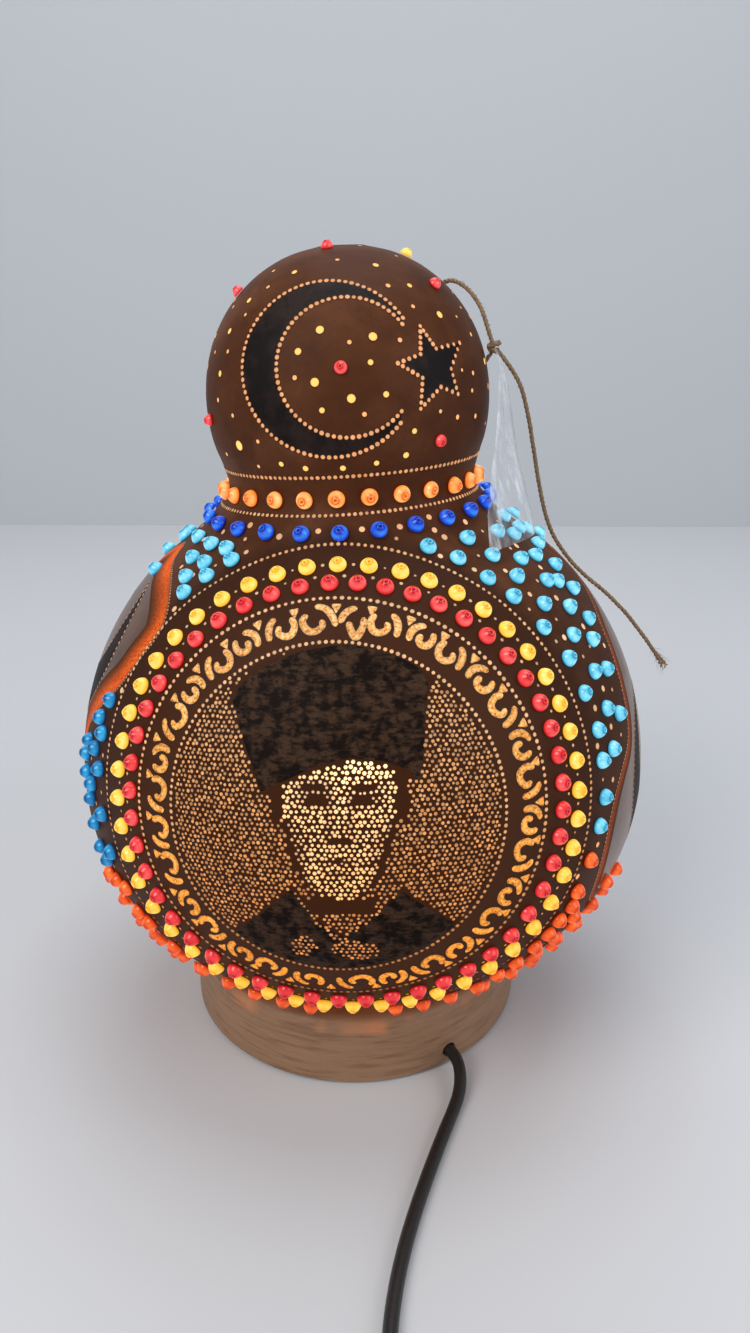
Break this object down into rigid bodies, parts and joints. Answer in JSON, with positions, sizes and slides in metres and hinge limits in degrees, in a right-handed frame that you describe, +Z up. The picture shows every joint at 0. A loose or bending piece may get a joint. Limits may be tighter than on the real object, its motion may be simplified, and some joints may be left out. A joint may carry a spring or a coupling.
{
  "type": "table lamp",
  "caption": "Carved gourd table lamp: a bead-studded hollow gourd with a pierced picture, on a turned wooden base, with an inner lamp and a lead with a switch and a plug.",
  "frame": {"origin": "middle of the round wooden base's footprint, on the table", "axes": "+Z up, -Y towards the front with the carved picture, +X to the viewer's right"},
  "size_m": [0.3126, 0.4995, 0.3788],
  "materials": {
    "gourd": "satin",
    "bead_red": "gloss",
    "bead_yellow": "gloss",
    "bead_orange": "gloss",
    "bead_navy": "gloss",
    "bead_blue": "gloss",
    "bead_light_blue": "gloss",
    "base_wood": "satin",
    "cover": "matte",
    "felt": "matte",
    "steel": "satin",
    "brass": "satin",
    "aluminium": "satin",
    "holder": "satin",
    "porcelain": "satin",
    "bulb_insulator": "gloss",
    "glass": "gloss",
    "stem_glass": "gloss",
    "tungsten": "matte",
    "lead": "matte",
    "wire_brown": "matte",
    "wire_blue": "matte",
    "switch": "satin",
    "rocker": "gloss",
    "twine": "matte",
    "film": "gloss"
  },
  "bodies": {
    "base": {"wooden_base": "base_wood", "bottom_cover": "cover", "cover_screws": "steel", "felt_disc": "felt", "nipple_tube": "steel", "nipple_washer": "steel", "nipple_nuts": "steel", "lampholder_cap": "holder", "lampholder_shell": "holder", "lampholder_block": "porcelain", "terminal_screws": "brass", "screw_sleeve": "brass", "centre_contact": "brass", "live_wire": "wire_brown", "neutral_wire": "wire_blue", "lead_inside": "lead", "clamp_block": "cover", "clamp_bar": "steel", "clamp_screws": "steel", "lead_free_run": "lead", "lead_coil": "lead", "lead_tail_a": "lead", "lead_tail_b": "lead", "switch_case_lower": "switch", "switch_case_upper": "switch", "switch_screws": "steel", "plug_body": "switch", "plug_pins": "steel"},
    "gourd": {"gourd_shell": "gourd", "beads_red_ring": "bead_red", "beads_yellow_ring": "bead_yellow", "beads_orange_neck": "bead_orange", "beads_navy_neck": "bead_navy", "beads_orange_lower": "bead_orange", "beads_blue_side": "bead_blue", "beads_light_blue": "bead_light_blue", "beads_red_bulb": "bead_red", "beads_yellow_bulb": "bead_yellow", "twine_loop": "twine", "twine_tail": "twine", "twine_knot": "twine", "film_tag": "film"},
    "lamp": {"lamp_button": "steel", "lamp_insulator": "bulb_insulator", "lamp_cap": "aluminium", "lamp_glass": "glass", "lamp_stem": "stem_glass", "filament_supports": "steel", "filament": "tungsten"},
    "rocker": {"switch_rocker": "rocker"}
  },
  "joints": [
    {"name": "gourd_lift", "type": "slide", "parent": "base", "child": "gourd", "axis": [0, 0, 1], "range_m": [0, 0.15]},
    {"name": "lamp_unscrew", "type": "slide", "parent": "base", "child": "lamp", "axis": [0, 0, 1], "range_m": [0, 0.03]},
    {"name": "switch_rocker", "type": "hinge", "parent": "base", "child": "rocker", "pos_m": [0.088, -0.247, 0.015], "axis": [0, -1, 0], "range_deg": [0, 20]}
  ]
}
